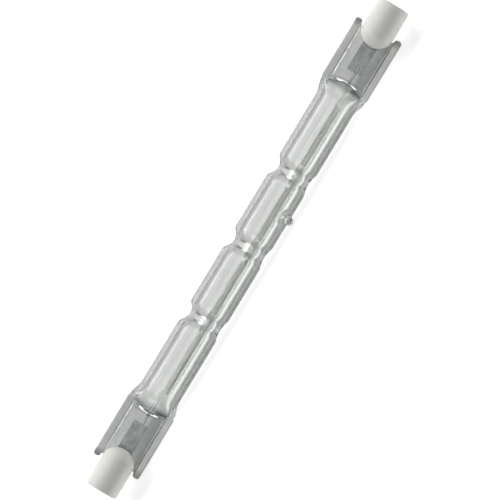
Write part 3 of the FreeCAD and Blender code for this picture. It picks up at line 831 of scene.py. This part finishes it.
relief = add(tree, "ShaderNodeBump", {"Height": grain.outputs["Fac"], "Strength": 0.35, "Distance": 0.04 * MM})
gloss = add(tree, "ShaderNodeMapRange", {"Value": grain.outputs["Fac"], "To Min": 0.5, "To Max": 0.7})
ceramic = add(
    tree,
    "ShaderNodeBsdfPrincipled",
    {
        "Base Color": shade.outputs[2],
        "Roughness": gloss.outputs["Result"],
        "IOR": 1.55,
        "Normal": relief.outputs["Normal"],
    },
)
tree.links.new(ceramic.outputs["BSDF"], output.inputs["Surface"])


def turned_solid(name, profile, around, material, end):
    """A solid turned from an outline of places along X and radii, from axis to axis, at end A or B."""
    sign = 1 if end == "b" else -1
    angles = 2 * math.pi * np.arange(around) / around
    points, faces = [(sign * profile[0][0], 0.0, 0.0)], []
    for x, radius in profile[1:-1]:
        points += [(sign * x, radius * math.cos(a), radius * math.sin(a)) for a in angles]
    points.append((sign * profile[-1][0], 0.0, 0.0))
    last = 1 + (len(profile) - 3) * around
    for k in range(around):
        following = (k + 1) % around
        faces.append((0, 1 + following, 1 + k))
        for row in range(len(profile) - 3):
            low, high = 1 + row * around, 1 + (row + 1) * around
            faces.append((low + k, low + following, high + following, high + k))
        faces.append((len(points) - 1, last + k, last + following))
    if sign < 0:
        faces = [face[::-1] for face in faces]
    return mesh_piece(name, rolled(points), faces, material, smooth_angle=SMOOTH_ANGLE)


def corner_arc(x, radius, size, start, stop, count=6):
    """Points of a rounded corner about a centre, from one angle to another in degrees."""
    return [
        (x + size * math.cos(math.radians(a)), radius + size * math.sin(math.radians(a)))
        for a in np.linspace(start, stop, count)
    ]


# The outline has a ring close to each edge, which keeps the shading of its corners crisp
dome_radius = (CAP_RADIUS ** 2 + DOME_DROP ** 2) / (2 * DOME_DROP)
dome_edge = math.asin(CAP_RADIUS / dome_radius)
cap_profile = [(CAP_CROWN, 0.0)]
for share in np.linspace(0, 1, 22)[1:-1]:
    fall = dome_radius * (1 - math.cos(dome_edge * share))
    cap_profile.append((CAP_CROWN + fall, dome_radius * math.sin(dome_edge * share)))
dome_foot = CAP_CROWN + DOME_DROP
cap_profile += [(dome_foot - 0.02, CAP_RADIUS - 0.012), (dome_foot + 0.1, CAP_RADIUS)]
cap_profile += [(x, CAP_RADIUS) for x in np.linspace(dome_foot + 0.9, CAP_END - CAP_ROUND - 0.6, 6)]
cap_profile += corner_arc(CAP_END - CAP_ROUND, CAP_RADIUS - CAP_ROUND, CAP_ROUND, 90, 0)
cap_profile += corner_arc(CAP_END - MOUTH_ROUND, RECESS_RADIUS + MOUTH_ROUND, MOUTH_ROUND, 0, -90)
cap_profile += [
    (RECESS_FLOOR, RECESS_RADIUS),
    (RECESS_FLOOR, SEAT_RADIUS),
    (SEAT_FLOOR, SEAT_RADIUS),
    (SEAT_FLOOR, SHANK_BORE),
    (SHANK_STEP, SHANK_BORE),
    (SHANK_STEP, LEAD_HOLE),
    (SLOT_END - HOLE_OVERLAP, LEAD_HOLE),
    (SLOT_END - HOLE_OVERLAP, 0.0),
]
for end in ("a", "b"):
    sign = 1 if end == "b" else -1
    cap = turned_solid("steatite_cap_" + end, cap_profile, CAP_AROUND, steatite, end)
    corners = [
        (sign * x, y, z)
        for x in (CAP_CROWN - CUT_SPARE, SLOT_END)
        for y in (-CAP_RADIUS - CUT_SPARE, CAP_RADIUS + CUT_SPARE)
        for z in (-SLOT_HALF, SLOT_HALF)
    ]
    sides = [(0, 1, 3, 2), (4, 6, 7, 5), (0, 4, 5, 1), (2, 3, 7, 6), (0, 2, 6, 4), (1, 5, 7, 3)]
    if sign < 0:
        sides = [side[::-1] for side in sides]
    cutter = mesh_piece("slot_cutter_" + end, rolled(corners), sides, steatite)
    slot = cap.modifiers.new("slot", "BOOLEAN")
    slot.object = cutter
    slot.operation = "DIFFERENCE"
    slot.solver = "EXACT"
    chamfer = cap.modifiers.new("pressed_edges", "BEVEL")
    chamfer.width = CAP_CHAMFER * MM
    chamfer.segments = 2
    chamfer.limit_method = "ANGLE"
    chamfer.angle_limit = math.radians(50)
    made_plain(cap)
    bpy.data.objects.remove(cutter)
    cap.data.polygons.foreach_set("use_smooth", [True] * len(cap.data.polygons))
    cap.data.set_sharp_from_angle(angle=math.radians(SMOOTH_ANGLE))
    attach(cap, "root")
    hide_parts("ceramic_cap_" + end)

# Cement
# Ceramic lamp cement, pressed as a paste into the slot of each cap round the web of the seal, where
# it sets hard, gritty and matt.
set_cement, tree, output, place = new_material("set_lamp_cement")
grit = add(tree, "ShaderNodeTexNoise", {"Vector": place, "Scale": 3000.0, "Detail": 4.0})
shade = add(
    tree,
    "ShaderNodeMix",
    {"Factor": grit.outputs["Fac"], 6: linear("#C9C6BA"), 7: linear("#E2DFD5")},
    data_type="RGBA",
)
relief = add(tree, "ShaderNodeBump", {"Height": grit.outputs["Fac"], "Strength": 0.8, "Distance": 0.1 * MM})
cement = add(
    tree,
    "ShaderNodeBsdfPrincipled",
    {"Base Color": shade.outputs[2], "Roughness": 0.92, "Normal": relief.outputs["Normal"]},
)
tree.links.new(cement.outputs["BSDF"], output.inputs["Surface"])
for end in ("a", "b"):
    finish_node("cement_" + end, set_cement)

# Contacts
# A nickel-plated button turned from rod, with its shank crimped on the outer lead, lies at the
# bottom of each recess. Turning has left fine rings on its face.
CONTACT_RADIUS = 1.85
CONTACT_ROUND = 0.2
SHANK_RADIUS = 0.95
SHANK_END = 54.1
LEAD_RADIUS = 0.3
LEAD_TIP = 56.7
RING_PITCH = 0.12
CONTACT_AROUND = 64

nickel, tree, output, place = new_material("nickel_plate")
turned_place = add(tree, "ShaderNodeSeparateXYZ", {"Vector": place})
face_place = add(
    tree, "ShaderNodeCombineXYZ", {"Y": turned_place.outputs["Y"], "Z": turned_place.outputs["Z"]}
)
from_axis = add(tree, "ShaderNodeVectorMath", {0: face_place.outputs["Vector"]}, operation="LENGTH")
ring_angle = add(
    tree,
    "ShaderNodeMath",
    {0: from_axis.outputs["Value"], 1: 2 * math.pi / (RING_PITCH * MM)},
    operation="MULTIPLY",
)
rings = add(tree, "ShaderNodeMath", {0: ring_angle.outputs[0]}, operation="SINE")
haze = add(tree, "ShaderNodeTexNoise", {"Vector": place, "Scale": 1200.0, "Detail": 2.0})
shade = add(
    tree,
    "ShaderNodeMix",
    {"Factor": haze.outputs["Fac"], 6: linear("#BDB7AA"), 7: linear("#D2CDC2")},
    data_type="RGBA",
)
gloss = add(tree, "ShaderNodeMapRange", {"Value": haze.outputs["Fac"], "To Min": 0.2, "To Max": 0.36})
relief = add(tree, "ShaderNodeBump", {"Height": rings.outputs[0], "Strength": 0.25, "Distance": 0.008 * MM})
metal = add(
    tree,
    "ShaderNodeBsdfPrincipled",
    {
        "Base Color": shade.outputs[2],
        "Metallic": 1.0,
        "Roughness": gloss.outputs["Result"],
        "Normal": relief.outputs["Normal"],
    },
)
tree.links.new(metal.outputs["BSDF"], output.inputs["Surface"])
contact_profile = [
    (LEAD_TIP, 0.0),
    (LEAD_TIP, LEAD_RADIUS),
    (SHANK_END, LEAD_RADIUS),
    (SHANK_END, SHANK_RADIUS),
    (SEAT_FLOOR, SHANK_RADIUS),
    (SEAT_FLOOR, CONTACT_RADIUS),
]
contact_profile += corner_arc(
    RECESS_FLOOR - CONTACT_ROUND, CONTACT_RADIUS - CONTACT_ROUND, CONTACT_ROUND, 90, 0
)
contact_profile.append((RECESS_FLOOR, 0.0))
for end in ("a", "b"):
    button = turned_solid("contact_button_" + end, contact_profile, CONTACT_AROUND, nickel, end)
    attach(button, "root")
    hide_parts("contact_" + end)

# Floor
# A studio table under the lamp, covered with white paper that keeps a soft shadow. It also glows, by a
# share for each kind of ray, and a painted line of focused light glows on it under the tube and under
# the rims, seen only through the glass.
FLOOR_LEVEL = -TUBE_RADIUS * MM
FLOOR_HALF = 1.5
GLOW_SEEN = 0.72
GLOW_ON_OBJECT = 0.5
GLOW_IN_GLASS = 0.05
GLOW_MIRRORED = 0.05
FOCUS = 0.95
FOCUS_LINE = -0.9
FOCUS_REACH = 0.9
RIM_FOCUS = 0.5
RIM_FOCUS_LINE = -2.6
RIM_FADE = (35.5, 38.5)


# Matt paper, with fibres that vary its white very slightly
paper, tree, output, place = new_material("white_paper")
fibres = add(tree, "ShaderNodeTexNoise", {"Vector": place, "Scale": 900.0, "Detail": 2.0})
tone = add(
    tree,
    "ShaderNodeMix",
    {"Factor": fibres.outputs["Fac"], 6: linear("#E6E6E6"), 7: linear("#EBEBEB")},
    data_type="RGBA",
)
sheet = add(tree, "ShaderNodeBsdfDiffuse", {"Color": tone.outputs[2]})
path = add(tree, "ShaderNodeLightPath")
strength = add(
    tree, "ShaderNodeMath", {0: path.outputs["Is Camera Ray"], 1: GLOW_SEEN, 2: 0.0}, operation="MULTIPLY_ADD"
)
mirrored = add(tree, "ShaderNodeMath", {0: path.outputs["Glossy Depth"], 1: 1.0}, operation="MINIMUM")
for ray, share in (
    (path.outputs["Is Diffuse Ray"], GLOW_ON_OBJECT),
    (path.outputs["Is Transmission Ray"], GLOW_IN_GLASS),
    (mirrored.outputs[0], GLOW_MIRRORED),
):
    strength = add(tree, "ShaderNodeMath", {0: ray, 1: share, 2: strength.outputs[0]}, operation="MULTIPLY_ADD")
# Painted light: a glowing line on the paper under the tube and under the rims, seen only by rays through the
# glass
floor_place = add(tree, "ShaderNodeSeparateXYZ", {"Vector": place})
away = add(tree, "ShaderNodeMath", {0: floor_place.outputs["X"]}, operation="ABSOLUTE")
line, power = (
    add(
        tree,
        "ShaderNodeMapRange",
        {
            "Value": away.outputs[0],
            "From Min": RIM_FADE[0] * MM,
            "From Max": RIM_FADE[1] * MM,
            "To Min": under_tube,
            "To Max": under_rim,
        },
    )
    for under_tube, under_rim in ((FOCUS_LINE * MM, RIM_FOCUS_LINE * MM), (FOCUS, RIM_FOCUS))
)
from_line = add(
    tree, "ShaderNodeMath", {0: floor_place.outputs["Y"], 1: line.outputs["Result"]}, operation="SUBTRACT"
)
aside = add(tree, "ShaderNodeMath", {0: from_line.outputs[0]}, operation="ABSOLUTE")
near_line = add(
    tree,
    "ShaderNodeMapRange",
    {"Value": aside.outputs[0], "From Min": FOCUS_REACH * MM, "From Max": 0.0},
    interpolation_type="SMOOTHSTEP",
)
painted_light_line = add(tree, "ShaderNodeMath", {0: near_line.outputs[0], 1: power.outputs[0]}, operation="MULTIPLY")
strength = add(
    tree,
    "ShaderNodeMath",
    {0: path.outputs["Is Transmission Ray"], 1: painted_light_line.outputs[0], 2: strength.outputs[0]},
    operation="MULTIPLY_ADD",
)
glow = add(tree, "ShaderNodeEmission", {"Strength": strength.outputs[0]})
both = add(tree, "ShaderNodeAddShader", {0: sheet.outputs["BSDF"], 1: glow.outputs["Emission"]})
tree.links.new(both.outputs["Shader"], output.inputs["Surface"])
floor_corners = [(x * FLOOR_HALF, y * FLOOR_HALF, FLOOR_LEVEL) for x, y in ((-1, -1), (1, -1), (1, 1), (-1, 1))]
floor = mesh_piece("studio_floor", floor_corners, [(0, 1, 2, 3)], paper)

# Studio light
# Long soft boxes with white cloth fronts stand parallel to the lamp, behind, in front and over it, and
# a square one stands off each end. The room round them is dim.
flat_normal = np.array([0.0, -math.sin(REST_ROLL), math.cos(REST_ROLL)])
flat_across = np.array([0.0, math.cos(REST_ROLL), math.sin(REST_ROLL)])
BOX_DISTANCE = 0.5
ROOM_DIM = 0.03
ROOM_IN_GLASS = 0.22
ROOM_MIRRORED = 0.1
# Turn from the flats' normal across the lamp and along it, length, width and brightness, then whether
# the box is mirrored, lights what the glass encloses, and lights what is matt
SOFT_BOXES = (
    ("soft_box_back", 67.0, 0.0, 1.0, 0.09, 9.2, True, True, True),
    ("soft_box_low", 84.0, 0.0, 1.0, 0.2, 1.9, False, False, True),
    ("soft_box_sheen", 84.0, 0.0, 1.0, 0.2, 1.4, True, True, False),
    ("soft_box_fill", -55.0, 0.0, 1.0, 0.045, 5.6, False, False, True),
    ("soft_box_over", 0.0, 0.0, 1.0, 1.7, 2.4, False, True, False),
    ("soft_box_strip", 16.0, 0.0, 1.0, 0.15, 2.5, False, True, False),
    ("soft_box_end_a", 0.0, -58.0, 0.25, 0.25, 2.8, True, True, False),
    ("soft_box_end_b", 0.0, 58.0, 0.25, 0.25, 2.8, True, True, False),
)
for name, across_turn, along_turn, length, width, brightness, in_mirrors, inside, on_matt in SOFT_BOXES:
    across_turn, along_turn = math.radians(across_turn), math.radians(along_turn)
    outward = math.cos(across_turn) * flat_normal + math.sin(across_turn) * flat_across
    direction = math.cos(along_turn) * outward + math.sin(along_turn) * np.array([1.0, 0.0, 0.0])
    light = bpy.data.lights.new(name, "AREA")
    light.shape = "RECTANGLE"
    light.size = length
    light.size_y = width
    light.energy = brightness * math.pi * length * width
    box = bpy.data.objects.new(name, light)
    side = np.cross(direction, (1.0, 0.0, 0.0))
    side /= np.linalg.norm(side)
    axes = np.array([np.cross(side, direction), side, direction]).T
    matrix = Matrix([list(row) + [0.0] for row in axes] + [[0.0, 0.0, 0.0, 1.0]])
    matrix.translation = [float(c) for c in direction * BOX_DISTANCE]
    box.matrix_world = matrix
    box.visible_camera = False
    box.visible_glossy = in_mirrors
    box.visible_transmission = inside
    box.visible_diffuse = on_matt
    bpy.context.scene.collection.objects.link(box)

world = bpy.data.worlds.new("studio_room")
bpy.context.scene.world = world
world.use_nodes = True
tree = world.node_tree
tree.nodes.clear()
path = add(tree, "ShaderNodeLightPath")
through_glass = add(
    tree,
    "ShaderNodeMath",
    {0: path.outputs["Is Transmission Ray"], 1: ROOM_IN_GLASS, 2: ROOM_DIM},
    operation="MULTIPLY_ADD",
)
mirrored = add(tree, "ShaderNodeMath", {0: path.outputs["Glossy Depth"], 1: 1.0}, operation="MINIMUM")
room = add(
    tree,
    "ShaderNodeMath",
    {0: mirrored.outputs[0], 1: ROOM_MIRRORED, 2: through_glass.outputs[0]},
    operation="MULTIPLY_ADD",
)
strength = add(
    tree, "ShaderNodeMath", {0: path.outputs["Is Camera Ray"], 1: room.outputs[0]}, operation="MAXIMUM"
)
backdrop = add(tree, "ShaderNodeBackground", {"Strength": strength.outputs[0]})
add(tree, "ShaderNodeOutputWorld", {"Surface": backdrop.outputs["Background"]})

# Camera
# A camera on a stand, 1 m away, looks straight at the flats of the seals through a long lens, with the
# lamp rising to the right.
LAMP_SLOPE = math.radians(58.81)
VIEW_SPAN = 0.1037
VIEW_DISTANCE = 1.0
VIEW_SHIFT = (0.00052, -0.000415)
along = np.array([1.0, 0.0, 0.0])
right = math.cos(LAMP_SLOPE) * along - math.sin(LAMP_SLOPE) * flat_across
upward = math.sin(LAMP_SLOPE) * along + math.cos(LAMP_SLOPE) * flat_across
aim = VIEW_SHIFT[0] * right + VIEW_SHIFT[1] * upward
lens = bpy.data.cameras.new("studio_camera")
lens.sensor_width = 36.0
lens.lens = lens.sensor_width * VIEW_DISTANCE / VIEW_SPAN
camera = bpy.data.objects.new("studio_camera", lens)
axes = np.array([right, upward, flat_normal]).T
matrix = Matrix([list(row) + [0.0] for row in axes] + [[0.0, 0.0, 0.0, 1.0]])
matrix.translation = [float(c) for c in aim + VIEW_DISTANCE * flat_normal]
camera.matrix_world = matrix
bpy.context.scene.collection.objects.link(camera)
bpy.context.scene.camera = camera
bpy.context.scene.view_settings.view_transform = "Standard"
